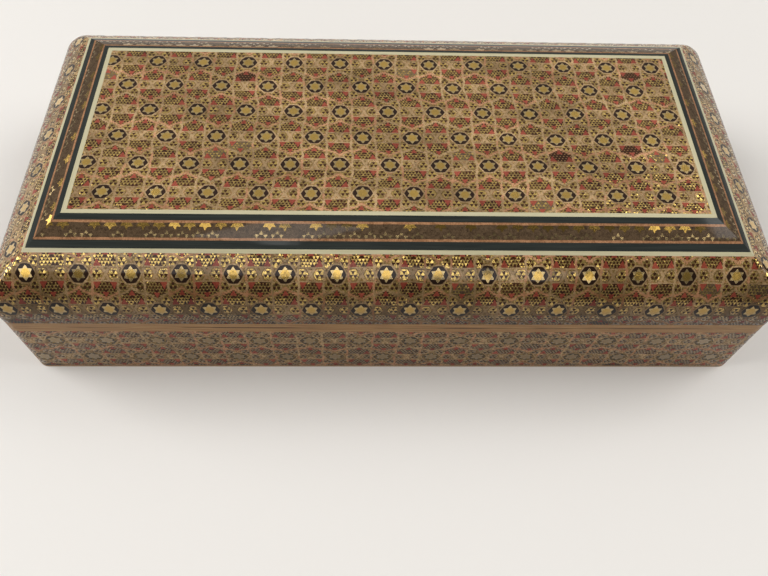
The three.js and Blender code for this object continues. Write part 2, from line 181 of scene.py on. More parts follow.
def rod_finish(name, dark, light, roughness, metallic=0.0, mottle=0.12, round_dot=False):
    """A rod end, between two tones by its shade, mottled, under lacquer. A round dot is a
    triangle whose corners are glue."""
    material, tree, shader, place = new_material(name)
    shade = add_node(tree, "Attribute", attribute_name="shade").outputs["Fac"]
    grain = add_node(tree, "TexNoise", {"Vector": place, "Scale": 1 / ROD_GRAIN, "Detail": 2.0})
    spread = add_node(
        tree, "Math", {0: grain, 1: 2 * mottle, 2: -mottle}, operation="MULTIPLY_ADD")
    tone = add_node(tree, "Math", {0: shade, 1: spread}, operation="ADD", use_clamp=True)
    colour = add_node(tree, "Mix", {"Factor": tone, MIX_A: dark, MIX_B: light}, data_type="RGBA")
    set_inputs(tree, shader, {"Roughness": roughness, "Metallic": metallic})
    if round_dot:
        rim = add_node(tree, "Attribute", attribute_name="rim").outputs["Fac"]
        bare = add_node(tree, "MapRange", {0: rim, 1: RIM_BARE, 2: RIM_GLUED, 3: 1.0, 4: 0.0})
        colour = add_node(
            tree, "Mix", {"Factor": bare, MIX_A: DOT_GLUE, MIX_B: colour}, data_type="RGBA")
        if metallic:
            set_inputs(tree, shader, {"Metallic": bare})
    set_inputs(tree, shader, {"Base Color": colour})
    if metallic:
        tilt = add_node(tree, "Attribute", attribute_name="tilt").outputs["Vector"]
        level = add_node(tree, "NewGeometry").outputs["Normal"]
        leaning = add_node(tree, "VectorMath", {0: level, 1: tilt}, operation="ADD")
        lean = add_node(tree, "VectorMath", {0: leaning}, operation="NORMALIZE")
        set_inputs(tree, shader, {"Normal": lean})
    lacquer(tree, shader, place)
    return material


ROD_FINISHES = [
    rod_finish("brass_star_rod", "#4A3518", "#E8BE62", 0.22, 1.0),
    rod_finish("pale_brass_rod", "#5A4B2E", "#E4C68C", 0.25, 1.0),
    rod_finish("ebony_rod", "#1A0F08", "#38251A", 0.35),
    rod_finish("bone_rod", "#5A4529", "#CDAB7E", 0.40),
    rod_finish("orange_wood_rod", "#6E4A2C", "#D6A078", 0.40),
    rod_finish("red_dyed_rod", "#64281C", "#AE5844", 0.40, mottle=0.3),
    rod_finish("brass_dot_rod", "#4A3416", "#F0CC74", 0.22, 1.0, round_dot=True),
    rod_finish("rosewood_rod", "#200F07", "#52311D", 0.38, round_dot=True),
    rod_finish("olive_wood_rod", "#463519", "#A5854F", 0.42),
    rod_finish("walnut_rod", "#2A1E14", "#78624A", 0.42, mottle=0.3),
    rod_finish("bundle_glue", "#4A3826", "#6B5238", 0.60),
]
STAR, POINT, RING, BONE, ORANGE, RED, DOT, DARK, OLIVE, WALNUT, GLUE = range(len(ROD_FINISHES))
print("rod finishes:", [finish.name for finish in ROD_FINISHES])

# %% [markdown]
# The pattern. All rods are triangles of one size, so the whole sheet lies on a triangular grid,
# and every figure of the pattern is a few limits on its lines. A star spacing is 30 rods wide, and
# rows of stars are 26 rods apart, with every second row half a spacing over.
#
# The sheet is glued up from upright columns, each half a spacing wide, with a seam of pale wood
# between two columns. In a column a star in its black ring is followed by a large bundle, a small
# gap and the next large bundle, upside down, before the next star. Six small leaf bundles stand
# round each star. A large bundle is five-sided: a roof that points at its star, two upright sides
# and a level base. Its point and its two lower corners are red, and orange wood lines the roof.
# Leaves and large bundles are filled with brass and dark rods, turn by turn. Bone crosses mark the
# places halfway between two stars.

# %% The sizes of the pattern, in rods
STEP_ACROSS, STEP_UP = 30, 26  # from star to star along a row, and from row to row
STAR_CORE, RING_SIZE = 2, 6
SEAM, SEAM_HALF, SEAM_LENGTH = 7.5, 0.6, 5  # place from a star, half the width, length of a strip
ROOF, ROOF_SLOPE, ROOF_LINE = 10, 2 / 3, 2.0  # a large bundle's point, its fall and its lining
BASE_LINE, RED_TIP = 21, 4
CORNER, CORNER_TOP = 5.2, 16  # the upper point of a lower corner's red triangle
LEAVES = ((10, 0), (5, 8), (-5, 8), (-10, 0), (-5, -8), (5, -8))
LEAF_SIZE = 2
DOT_SIZE = 2  # brass and dark triangles are two rods wide
CROSS_HIGH, CROSS_FROM = 5, 11  # half a cross's height, and where its arms end
PATCH_WIDE, PATCH_HIGH = 4, 3  # olive rods are laid in patches of one tone

# %% How worn and mixed it is, as shares from 0 to 1
DOTS_LOST, CORNERS_LOST = 0.12, 0.2  # brass triangles that are dark too, corners without red
STRAY_SHARE = 0.16  # olive rods that are orange wood, and half as many are walnut
DARK_SHARE, WALNUT_SHARE = 0.02, 0.06  # large bundles without brass, and with walnut beside it
SEAM_ORANGE, LINING_ORANGE = 0.25, 0.65  # strips and roof linings in orange wood, the rest bone
EDGE_BRASS = 0.6  # rods round a leaf in brass, the rest bone


def chance(*keys):
    """A repeatable random number from 0 to 1 for whole-number keys: the fraction of a big sine."""
    weights = (12.9898, 78.233, 37.719)
    mixed = sum((key + 3.1) * weight for key, weight in zip(keys, weights))
    return np.modf(np.abs(np.sin(mixed)) * 43758.5453)[0]


# %% Lines and figures
def nearest_star(x, y, row):
    """The number of the nearest star of one row of stars, and a point's place from that star."""
    middle = STEP_ACROSS / 2 * row
    across = np.round((x - middle) / STEP_ACROSS)
    return across, x - middle - STEP_ACROSS * across, y - STEP_UP * row


def bundle_lines(dx, high):
    """The three families of lines that a large bundle's dots lie between. They add up to
    BASE_LINE + 1."""
    return np.stack([BASE_LINE + 1 - high, dx + high / 2, high / 2 - dx])


def leaf_lines(dx, dy, leaf):
    """The same for a leaf, counted from its middle. They add up to 0."""
    x, y = dx - leaf[0], dy - leaf[1]
    return np.stack([y, x - y / 2, -x - y / 2])


def dotted(lines, brass, dark):
    """Brass on every triangle of one pointing, dark on the others, and a number for each
    triangle. Some of the brass is missing."""
    places = np.floor(lines / DOT_SIZE)
    number = chance(*places)
    shown = (np.mod(places.sum(0), 2) == 1) & (number > DOTS_LOST)
    return np.where(shown, brass, dark), number


def star_triangles(dx, dy, size):
    """Where the two triangles of a six-pointed star lie. They overlap in its core, a hexagon.

    s = x - y/2 and t = x + y/2 are constant along the slanting grid lines. A hexagon is
    max(|y|, |s|, |t|) < size.
    """
    s, t = dx - dy / 2, dx + dy / 2
    return (dy > -size) & (t < size) & (s > -size), (dy < size) & (t > -size) & (s < size)


# %% The khatam pattern
def rods(x, y):
    """The kind of each rod at grid places x, y, and a random number shared by the rods of a
    figure. A last number in chance() only sets one draw apart from another."""
    kind = np.full(x.shape, OLIVE)
    speck = chance(np.floor(3 * x), np.floor(3 * y))  # cells smaller than a rod
    figure = chance(np.floor(x / PATCH_WIDE), np.floor(y / PATCH_HIGH))
    for offset in (-1, 0, 1):
        row = np.round(y / STEP_UP) + offset
        across, dx, dy = nearest_star(x, y, row)
        wide, high = np.abs(dx), np.abs(dy)
        plain = kind == OLIVE

        s, t, half = wide - high / 2, wide + high / 2, STEP_ACROSS / 2
        cross = ((np.abs(s - half) < 1) | (np.abs(t - half) < 1)) & plain
        kind[cross & (high < CROSS_HIGH) & (wide > CROSS_FROM)] = BONE
        seam = (np.abs(wide - SEAM) < SEAM_HALF) & plain & (high <= STEP_UP / 2)
        orange = chance(np.floor(y / SEAM_LENGTH), np.round(x / SEAM)) < SEAM_ORANGE
        kind = np.where(seam, np.where(orange, ORANGE, BONE), kind)

        for number, leaf in enumerate(LEAVES):
            lines = leaf_lines(dx, dy, leaf)
            size = np.abs(lines).max(0)
            edge = (size < LEAF_SIZE + 1) & (kind == OLIVE)
            kind = np.where(edge, np.where(speck < EDGE_BRASS, DOT, BONE), kind)
            filling, dot = dotted(lines, DOT, DARK)
            own = np.mod(dot + chance(across, row, number), 1)
            kind = np.where(size < LEAF_SIZE, filling, kind)
            figure = np.where(size < LEAF_SIZE, own, figure)

        fall = high - ROOF - ROOF_SLOPE * wide  # rods below a large bundle's roof
        own = chance(across, row, np.sign(dy) + 5)
        ground = np.where(own > 1 - WALNUT_SHARE, WALNUT, DARK)
        filling, dot = dotted(bundle_lines(dx, high), DOT, ground)
        filling = np.where(own < DARK_SHARE, DARK, filling)
        tip = (2 * wide < high - ROOF) & (high < ROOF + RED_TIP)
        corner = 2 * np.abs(wide - CORNER) < high - CORNER_TOP
        corner &= chance(across, row, np.sign(dx) + 9) > CORNERS_LOST
        filling = np.where(tip | corner, RED, filling)
        inside = (fall > 0) & (high < BASE_LINE) & (wide < SEAM - SEAM_HALF)
        lining = (fall > -ROOF_LINE) & (fall <= 0) & (wide < SEAM) & (high > RING_SIZE)
        orange = chance(across, row, np.sign(dy) + 12) < LINING_ORANGE
        kind = np.where(lining, np.where(orange, ORANGE, BONE), kind)
        kind[(high > BASE_LINE) & (high < BASE_LINE + 1) & (wide < SEAM)] = BONE
        kind = np.where(inside | (tip & (fall > -1)), filling, kind)
        own = np.where(filling == DOT, np.mod(dot + own, 1), own)
        figure = np.where(inside, own, figure)

        size = np.max(np.abs([dy, dx - dy / 2, dx + dy / 2]), axis=0)
        up, down = star_triangles(dx, dy, STAR_CORE)
        kind[(size < RING_SIZE + 1) & (size > RING_SIZE)] = BONE
        kind[size < RING_SIZE] = RING
        kind[up | down] = POINT
        kind[up & down] = STAR
        figure = np.where(size < RING_SIZE, chance(across, row), figure)
    kind[(kind == OLIVE) & (speck < STRAY_SHARE)] = ORANGE
    kind[(kind == OLIVE) & (speck > 1 - STRAY_SHARE / 2)] = WALNUT
    return kind, figure


def rim_of(x, y):
    """1 at grid points that are a corner of a dotted triangle, 0 halfway along its sides.

    Rods are never quite sharp-edged: glue fills the corners, so the triangles look like dots.
    """
    row = np.round(y / STEP_UP)
    rim = np.zeros_like(x)
    for offset in (-1, 0, 1):
        _, dx, dy = nearest_star(x, y, row + offset)
        high = np.abs(dy)
        bundle = (high > ROOF) & (high <= BASE_LINE + 1) & (np.abs(dx) <= SEAM)
        figures = [(bundle_lines(dx, high), bundle)]
        for leaf in LEAVES:
            lines = leaf_lines(dx, dy, leaf)
            figures.append((lines, np.abs(lines).max(0) <= LEAF_SIZE))
        for lines, found in figures:
            rim[found & (np.mod(lines, DOT_SIZE) == 0).all(0)] = 1
    return rim


# %% [markdown]
# The border band is a narrow khatam of its own. Half stars of brass hang from its upper edge, and
# below, between them, three brass dots each. The rest is dark wood. A fillet of orange wood two
# rods wide runs along both edges.

# %% The border pattern
BAND_STEP, BAND_ROWS, FILLET, BAND_CORE = 11, 16, 2, 3
BAND_STARS, BAND_DOTS = 0.8, 0.75  # shares of the figures that still have their brass


def band_rods(x, y):
    """The kind of each rod of the border band at grid places x, y, with y from 0 to BAND_ROWS."""
    kind = np.full(x.shape, WALNUT)
    figure = chance(np.floor(x / 2), np.floor(y / 2))
    for middle, centre in ((0, BAND_ROWS - FILLET), (BAND_STEP / 2, FILLET)):
        nearest = np.round((x - middle) / BAND_STEP)
        up, down = star_triangles(x - middle - BAND_STEP * nearest, y - centre, BAND_CORE)
        wear_and_shadow_breaks = chance(nearest, middle)
        if middle:
            kind[(up ^ down) & (wear_and_shadow_breaks < BAND_DOTS)] = POINT
        else:
            kind[(up | down) & (wear_and_shadow_breaks < BAND_STARS)] = STAR
        figure = np.where(up | down, wear_and_shadow_breaks, figure)
    kind[(y < FILLET) | (y > BAND_ROWS - FILLET)] = ORANGE
    return kind, figure


# %% [markdown]
# From grid to sheet. A sheet is a flat piece of the grid, in millimetres across and down. The
# glued strips never lie quite true, so the sheet is pushed about a little by slow waves and each
# row of stars may be glued a little to one side. Then it is trimmed with a knife along straight or
# curved lines: rods that a line crosses are cut in two exactly where it runs.

# %% Grid and trimming
def triangle_grid(x_range, y_range):
    """Corners x, y and triangles of a triangular grid. Every second row is half a step over."""
    columns = np.arange(np.floor(x_range[0]), np.ceil(x_range[1]) + 1)
    rows = np.arange(np.floor(y_range[0]), np.ceil(y_range[1]) + 1)
    odd = np.mod(rows, 2)
    x = columns[None, :] + odd[:, None] / 2
    y = np.broadcast_to(rows[:, None], x.shape)
    at = np.arange(x.size).reshape(x.shape)
    i, j = np.meshgrid(np.arange(len(columns) - 1), np.arange(len(rows) - 1))
    shift = odd[j].astype(int)
    pointing_up = np.stack([at[j, i], at[j, i + 1], at[j + 1, i + shift]], -1)
    pointing_down = np.stack([at[j, i + 1 - shift], at[j + 1, i + 1], at[j + 1, i]], -1)
    triangles = np.concatenate([pointing_up.reshape(-1, 3), pointing_down.reshape(-1, 3)])
    return x.ravel(), y.ravel(), triangles


def merged(points, triangles, marks):
    """Makes points that coincide one, and drops triangles that have shrunk to a line."""
    _, first, same = np.unique(
        np.round(points, 5), axis=0, return_index=True, return_inverse=True)
    triangles = same.ravel()[triangles]
    a, b, c = triangles.T
    good = (a != b) & (b != c) & (c != a)
    used, triangles = np.unique(triangles[good], return_inverse=True)
    return points[first][used], triangles.reshape(-1, 3), marks[good]


def trimmed(points, triangles, marks, keep):
    """Keeps the part of a sheet where keep is above zero.

    keep holds a value at each point and is taken as straight along each edge, so an edge from a
    to b is cut at the share keep(a) / (keep(a) - keep(b)) of its length.
    """
    inside = keep[triangles] > 0
    count = inside.sum(1)
    whole = count == 3
    pieces, owners = [triangles[whole]], [marks[whole]]
    cuts = []
    start = len(points)
    for wanted in (1, 2):
        crossed = count == wanted
        corner = np.argmax(inside[crossed] == (wanted == 1), axis=1)
        turn = (corner[:, None] + np.arange(3)) % 3
        a, b, c = np.take_along_axis(triangles[crossed], turn, 1).T
        n = len(a)
        cuts += [np.stack([a, b], 1), np.stack([a, c], 1)]
        ab, ac = start + np.arange(n), start + n + np.arange(n)
        start += 2 * n
        parts = [(a, ab, ac)] if wanted == 1 else [(ab, b, c), (ab, c, ac)]
        pieces += [np.stack(part, 1) for part in parts]
        owners += [marks[crossed]] * len(parts)
    low, high = np.sort(np.concatenate(cuts), axis=1).T
    share = keep[low] / (keep[low] - keep[high])
    cut_points = points[low] + share[:, None] * (points[high] - points[low])
    return merged(
        np.concatenate([points, cut_points]), np.concatenate(pieces), np.concatenate(owners))


# %% Waves and drift
WAVE_LENGTHS, WAVE_PUSH = (9, 16, 27, 40), 0.1


def waves(points, seed):
    """A slow push of up to about 0.3 mm in both directions: a few sines of the place."""
    draw = np.random.default_rng(seed)
    push = np.zeros_like(points)
    for length in WAVE_LENGTHS:
        turn, angle = draw.uniform(0, 2 * np.pi, 2)
        along = points @ np.array([np.cos(angle), np.sin(angle)]) * (2 * np.pi / length)
        lean = draw.uniform(0, 2 * np.pi)
        way = np.array([np.cos(lean), np.sin(lean)])
        push += WAVE_PUSH * np.sin(along + turn)[:, None] * way
    return push


def drift_of(row, seed, amount):
    """How far to one side each row of stars is glued, eased between rows by a cosine."""
    whole = np.floor(row)
    ease = (1 - np.cos(np.pi * (row - whole))) / 2
    before = 2 * chance(whole, seed) - 1
    after = 2 * chance(whole + 1, seed) - 1
    return amount * (before + (after - before) * ease)


# %% [markdown]
# Laying a sheet. A side of the box is a cross-section carried along the side and round half of
# each rounded corner, up to the mitre. A place on a sheet is how far it lies across, from the
# middle of the side, and how far down the cross-section. Each cross-section is a function that
# gives, for a distance down and a depth under the surface, how far out it stands from the panel on
# the ends and on the long sides, its height and the radius of its corners. The same function gives
# both faces of the sheet, so the sheet is a closed, solid piece.

# %% Curves
def bevel(along):
    """The arc that the strips lie on: out from the panel, down from it, and its slope."""
    radius = BEVEL / (BEVEL_END - BEVEL_START)
    slope = BEVEL_START + along / radius
    out = radius * (np.sin(slope) - np.sin(BEVEL_START))
    drop = radius * (np.cos(BEVEL_START) - np.cos(slope))
    return out, drop, BEVEL_END * along / BEVEL


def bezier(t, points):
    """A cubic curve at t: each point weighs (1-t)^3, 3(1-t)^2 t, 3(1-t) t^2 or t^3."""
    t = t[:, None]
    weights = (1 - t) ** 3, 3 * (1 - t) ** 2 * t, 3 * (1 - t) * t ** 2, t ** 3
    return sum(weight * point for weight, point in zip(weights, points))


def bezier_direction(t, points):
    """The curve's unit direction: its derivative, divided by its length."""
    a, b, c, d = points
    t = t[:, None]
    slope = 3 * (1 - t) ** 2 * (b - a) + 6 * (1 - t) * t * (c - b) + 3 * t ** 2 * (d - c)
    return slope / np.linalg.norm(slope, axis=1, keepdims=True)


def shoulder_points(margin):
    """The four points of the curve from the bevel's end to the upright rim, as out and down."""
    out, drop, _ = bevel(BEVEL)
    start, foot = np.array([out, drop]), np.array([margin, drop + SHOULDER_DROP])
    along = np.array([np.cos(BEVEL_END), np.sin(BEVEL_END)])
    return start, start + SHOULDER_START * along, foot - np.array([0, SHOULDER_END]), foot


END_CURVE = shoulder_points(RIM_X - PANEL_X)
SIDE_CURVE = shoulder_points(RIM_Y - PANEL_Y)
CURVE_STEPS = np.linspace(0, 1, 401)
STRAIGHT = LID_TOP - SIDE_CURVE[3][1] - (PARTING + LIP)  # upright stretch above the banding


def arc_length(curve):
    """Distance along a curve at each of CURVE_STEPS: the sum of the short chords."""
    steps = np.diff(bezier(CURVE_STEPS, curve), axis=0)
    return np.concatenate([[0], np.cumsum(np.linalg.norm(steps, axis=1))])


# %% Cross-sections
def band_section(across_ends, down, depth):
    """The border band, somewhere down the bevel."""
    out, drop, lean = bevel(INNER_BLACK + down)
    out, height = out - depth * np.sin(lean), LID_TOP - drop - depth * np.cos(lean)
    return out, out, height, np.zeros_like(height)


def shoulder_section(across_ends, down, depth):
    """The lid's rolled-over side. The corner's radius grows from 0 to the rim's with the
    spread."""
    lengths = arc_length(END_CURVE if across_ends else SIDE_CURVE)
    t = np.interp(down, lengths, CURVE_STEPS)
    end, side = bezier(t, END_CURVE), bezier(t, SIDE_CURVE)
    way = bezier_direction(t, SIDE_CURVE)
    upright = np.maximum(down - lengths[-1], 0)
    spread = (side[:, 0] - SIDE_CURVE[0][0]) / (SIDE_CURVE[3][0] - SIDE_CURVE[0][0])
    inward = depth * way[:, 1]
    height = LID_TOP - side[:, 1] - depth * way[:, 0] - upright
    radius = np.maximum(RIM_RADIUS * spread - inward, 0)
    return end[:, 0] - inward, side[:, 0] - inward, height, radius


def base_section(across_ends, down, depth):
    """The base's side, which leans out a little from under the banding to the foot."""
    height = base_high[2] - down
    share = 1 - height / PARTING
    radius = RIM_RADIUS + (FOOT_RADIUS - RIM_RADIUS) * share - depth
    out = FLARE * share - depth
    return RIM_X - PANEL_X + out, RIM_Y - PANEL_Y + out, height, radius


SHOULDER_LONG = arc_length(SIDE_CURVE)[-1] + STRAIGHT
SHOULDER_SHORT = arc_length(END_CURVE)[-1] + STRAIGHT
BASE_SHEET = base_high[2] - base_low[2]
for sheet, high in ("lid", SHOULDER_LONG), ("lid end", SHOULDER_SHORT), ("base", BASE_SHEET):
    print(sheet, "sheet", round(float(high), 2), "mm high")


# %% Laying a sheet on a side
def half_widths(side, section, down, depth):
    """Half the straight stretch, how far out it lies, its height and corner radius, at each
    down."""
    end, flank, height, radius = section(side in ENDS, down, depth)
    long_way, short_way = PANEL_X + end, PANEL_Y + flank
    half, out = (short_way, long_way) if side in ENDS else (long_way, short_way)
    return half - radius, out, height, radius


def mitre_reach(side, section, down):
    """How far across a side the sheet goes before it meets the mitre, round its half corner."""
    straight, _, _, radius = half_widths(side, section, down, 0.0)
    return straight + radius * np.pi / 4


def turn_to(side, across, out, height):
    """From a side's own across and out to the box's x, y and z."""
    x, y = {"front": (across, -out), "right": (out, across),
            "back": (-across, out), "left": (-out, -across)}[side]
    return np.stack([x, y, height], -1)


def lay(side, section, across, down, depth):
    """Puts sheet places on the box. Past the straight stretch they go round the corner's arc."""
    straight, _, _, radius = half_widths(side, section, down, 0.0)
    deep_straight, out, height, deep_radius = half_widths(side, section, down, depth)
    beyond = np.maximum(np.abs(across) - straight, 0)
    angle = np.minimum(beyond / np.maximum(radius, 1e-6), np.pi / 4)
    along = np.where(beyond > 0, deep_straight + deep_radius * np.sin(angle),
                     np.abs(across) * deep_straight / straight)
    out = out - deep_radius * (1 - np.cos(angle))
    return turn_to(side, np.sign(across) * along, out, height)


# %% [markdown]
# From arrays to a Blender object. The outer face of a sheet is the trimmed grid. The face that is
# glued down is the same grid a sheet's thickness deeper, and two triangles join them along every
# free edge. Free edges are those that belong to one triangle only. Every finished piece rides on
# a body, and the plain piece of the frame that it stands for is hidden.

# %% Making objects
def new_object(name, data):
    """An object in the scene, at the origin."""
    made = bpy.data.objects.new(name, data)
    bpy.context.scene.collection.objects.link(made)
    return made


def make_object(name, points, faces, materials, marks=None, sharp=40):
    """A smooth-shaded mesh object at the origin, its points given in millimetres."""
    mesh = bpy.data.meshes.new(name)
    mesh.from_pydata((np.asarray(points) * MM).tolist(), [], np.asarray(faces, object).tolist())
    for material in materials:
        mesh.materials.append(material)
    if marks is not None:
        mesh.polygons.foreach_set("material_index", marks.astype(np.int32))
    mesh.polygons.foreach_set("use_smooth", np.ones(len(mesh.polygons), bool))
    mesh.set_sharp_from_angle(angle=np.radians(sharp))
    mesh.update()
    return new_object(name, mesh)


def set_in_place(piece, body, node):
    """Rides a piece on a body, in place of a piece of the frame, which it hides."""
    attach(piece, body)
    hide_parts(node)
    print(piece.name, len(piece.data.polygons), "faces")


def free_edges(triangles):
    """Edges that only one triangle has, in that triangle's direction."""
    edges = triangles[:, [0, 1, 1, 2, 2, 0]].reshape(-1, 2)
    _, index, count = np.unique(
        np.sort(edges, axis=1), axis=0, return_index=True, return_counts=True)
    return edges[index[count == 1]]


def add_values(mesh, name, kind, place, values):
    """Stores a value for each face or point under a name that the materials can read."""
    data = mesh.attributes.new(name, kind, place).data
    data.foreach_set("vector" if values.ndim > 1 else "value", values.astype(np.float32).ravel())


# %% A solid sheet
FIGURE_TILT, ROD_TILT = 0.05, 0.03  # how far figures and rod ends lean, as tangents
STAR_TILT = 0.4  # the rods of a star are filed flatter, so they lean less by this factor
METALS = (STAR, POINT, DOT)
WOOD_FIGURE = 0.4  # share of a wooden rod's tone that its figure has in common
DOT_LEAST = 0.35  # the dullest dot's shade, where the brightest has 1
STAR_LEAST, STAR_FIGURE, STAR_OWN = 0.7, 0.2, 0.1  # a star's least shade and what is added
HIDDEN_SHADE = 0.5


def solid_sheet(name, outer, inner, triangles, marks, tones, shine, seed, dot_rims=None):
    """A closed sheet from its outer and inner points. A flat sheet's inner face may be one point.
    marks holds each rod's kind and its figure's number. tones says how dark and how light the
    woods may be, and shine how light the brass is. On the lid's sides both carry painted shade,
    darker towards the rim."""
    kinds, figure = marks.T
    count = len(outer)
    a, b = free_edges(triangles).T
    if len(inner) == 1:
        points = np.concatenate([outer, outer - [0, 0, SHEET], inner])
        under = np.stack([b, a, np.full_like(a, count)], 1) + count
    else:
        points = np.concatenate([outer, inner])
        under = triangles[:, ::-1] + count
    rim = [np.stack([b, a, a + count], 1), np.stack([b, a + count, b + count], 1)]
    faces = np.concatenate([triangles, *rim, under])
    hidden = len(faces) - len(triangles)
    all_kinds = np.concatenate([kinds, np.full(hidden, GLUE)])
    used, faces = np.unique(faces, return_inverse=True)
    made = make_object(name, points[used], faces.reshape(-1, 3), ROD_FINISHES, all_kinds)

    draw = np.random.default_rng(seed)
    own = draw.random(len(triangles))
    mixed = WOOD_FIGURE * figure + (1 - WOOD_FIGURE) * own
    wooden = tones[0] + (tones[1] - tones[0]) * mixed
    dots = DOT_LEAST + (1 - DOT_LEAST) * figure
    stars = STAR_LEAST + STAR_FIGURE * figure + STAR_OWN * own
    metal = shine * np.where(kinds == DOT, dots, stars)
    shade = np.where(np.isin(kinds, METALS), metal, wooden)
    shade = np.concatenate([shade, np.full(hidden, HIDDEN_SHADE)])

    tilt = draw.normal(0, ROD_TILT, (len(shade), 3))
    tilt *= np.where(all_kinds < RING, STAR_TILT, 1)[:, None]
    turn, lean = 2 * np.pi * chance(1000 * figure), 2 * FIGURE_TILT * chance(1000 * figure, 7)
    way = np.stack([np.cos(turn), np.sin(turn), np.zeros_like(turn)], 1)
    tilt[:len(triangles)] += lean[:, None] * way
    rims = np.zeros(len(points))
    if dot_rims is not None:
        rims[:count] = dot_rims
    add_values(made.data, "shade", "FLOAT", "FACE", shade)
    add_values(made.data, "tilt", "FLOAT_VECTOR", "FACE", tilt)
    add_values(made.data, "rim", "FLOAT", "POINT", rims[used])
    return made


# %% [markdown]
# A whole sheet, then: grid, pattern, waves, trimming, laying and closing. star says where one
# star lies on the sheet, pitch how far apart the stars of a row are and rise how far apart the
# rows are. Stars and leaves are a little larger than their place in the grid. With each point goes
# its rim value, as a third coordinate, so that cutting carries it along.

# %% A khatam sheet
JOINT = 0.05  # each sheet stops this far short of a mitre, which leaves a hairline
STAR_SPREAD, STAR_REACH = 0.42, 1.7  # how much larger a star is, and within how many mm
LEAF_SPREAD, LEAF_REACH = 0.28, 1.3  # the same for a leaf
SPARE = 4  # rods laid beyond each edge before trimming


def khatam_grid(wide, tall, star, pitch, rise, seed, drift, wear_and_shadow_breaks=0.0):
    """Sheet places, triangles and marks for a sheet from wide[0] to wide[1] across and from
    tall[0] to tall[1] up. worn is the share of ring rods that were replaced by olive wood."""
    rod, rod_row = pitch / STEP_ACROSS, rise / STEP_UP
    spare = SPARE + abs(drift) / rod
    x, y, triangles = triangle_grid(
        ((wide[0] - star[0]) / rod - spare, (wide[1] - star[0]) / rod + spare),
        ((tall[0] - star[1]) / rod_row - SPARE, (tall[1] - star[1]) / rod_row + SPARE))
    kinds, figure = rods(x[triangles].mean(1), y[triangles].mean(1))
    lost = np.random.default_rng(seed).random(len(kinds)) < wear_and_shadow_breaks
    kinds = np.where(lost & (kinds == RING), OLIVE, kinds)

    _, dx, dy = nearest_star(x, y, np.round(y / STEP_UP))
    places = np.stack([x * rod, y * rod_row], 1)
    from_star = np.stack([dx * rod, dy * rod_row], 1)
    near = np.exp(-(np.linalg.norm(from_star, axis=1) / STAR_REACH) ** 6)
    places += STAR_SPREAD * near[:, None] * from_star
    for leaf_x, leaf_y in LEAVES:
        from_leaf = from_star - (leaf_x * rod, leaf_y * rod_row)
        near = np.exp(-(np.linalg.norm(from_leaf, axis=1) / LEAF_REACH) ** 4)
        places += LEAF_SPREAD * near[:, None] * from_leaf
    places += star
    places[:, 0] += drift_of(y / STEP_UP, seed, drift)
    places += waves(places, seed)
    marks = np.stack([kinds, figure], 1)
    return np.column_stack([places, rim_of(x, y)]), triangles, marks


PATCHES, PATCH_SEED = 1.5, 70  # how much of its waves' push a patch takes as tone
# Painted shade: over this height down from a sheet's upper edge, its woods lose their fade.
SHADE_FADE_HEIGHT = 18  # mm over which a sheet fades


def patches_and_painted_shade(at, seed, tones, fade=0.0):
    """Darkest and lightest tone at places on a sheet. Slow waves carry both up and down by about
    a fifth, as lacquer and soiling do, and fade is painted shade: what they lose from the upper
    to the lower edge."""
    lower = np.clip(-at[:, 1], 0, SHADE_FADE_HEIGHT) / SHADE_FADE_HEIGHT
    share = 1 + PATCHES * waves(at[:, :2], seed + PATCH_SEED).sum(1) - fade * lower
    return tones[0] * share, tones[1] * share


def khatam_side(name, side, section, height, seed, tones, fade, shine, **pattern):
    """A khatam sheet on one side of the lid or base, from mitre to mitre. shine is for its upper
    and its lower edge, eased between them, and is painted light and shade on the brass. fade is
    painted shade on the woods, darker towards the lower edge."""
    half = mitre_reach(side, section, np.linspace(0, height, 50)).max()
    places, triangles, marks = khatam_grid((-half, half), (-height, 0), seed=seed, **pattern)
    limits = (
        lambda at: -at[:, 1],
        lambda at: at[:, 1] + height,
        lambda at: (mitre_reach(side, section, np.clip(-at[:, 1], 0, height))
                    - JOINT - np.abs(at[:, 0])),
    )
    for limit in limits:
        places, triangles, marks = trimmed(places, triangles, marks, limit(places))
    across, down = places[:, 0], np.clip(-places[:, 1], 0, height)
    outer, inner = (lay(side, section, across, down, depth) for depth in (0.0, SHEET))
    # Painted light and shade on the brass, eased from the upper to the lower edge: on the lid it
    # is lighter at the shoulder and dark at the rim.
    brass_tone_and_shade = shine[0] + (shine[1] - shine[0]) * down[triangles].mean(1) / height
    tones = patches_and_painted_shade(places[triangles].mean(1), seed, tones, fade)
    return solid_sheet(name, outer, inner, triangles, marks, tones, brass_tone_and_shade, seed, places[:, 2])


# %% [markdown]
# The panel on the lid is the one flat sheet. It fills the white line's frame exactly. The first
# row of stars lies 22 mm in front of the middle, and the stars of a row are 12.55 mm apart.

# %% The panel
FIELD = dict(star=(-70.2, -22.0), pitch=12.55, rise=9.07, drift=0.9)
FIELD_SEED, FIELD_TONES, FIELD_SHINE = 3, (0.24, 0.8), 1.0


def khatam_panel():
    """The flat sheet, trimmed to the frame. Its hidden face is a fan round one point."""
    wide, deep = field_high[:2]
    places, triangles, marks = khatam_grid((-wide, wide), (-deep, deep), seed=FIELD_SEED, **FIELD)
    for axis, half in enumerate((wide, deep)):
        places, triangles, marks = trimmed(
            places, triangles, marks, half - np.abs(places[:, axis]))
    outer = np.column_stack([places[:, :2], np.full(len(places), LID_TOP)])
    centre = np.array([[0, 0, LID_TOP - SHEET]])
    tones = patches_and_painted_shade(places[triangles].mean(1), FIELD_SEED, FIELD_TONES)
    return solid_sheet("khatam_panel", outer, centre, triangles, marks, tones, FIELD_SHINE,
                       FIELD_SEED, places[:, 2])


set_in_place(khatam_panel(), "lid", "khatam_field")

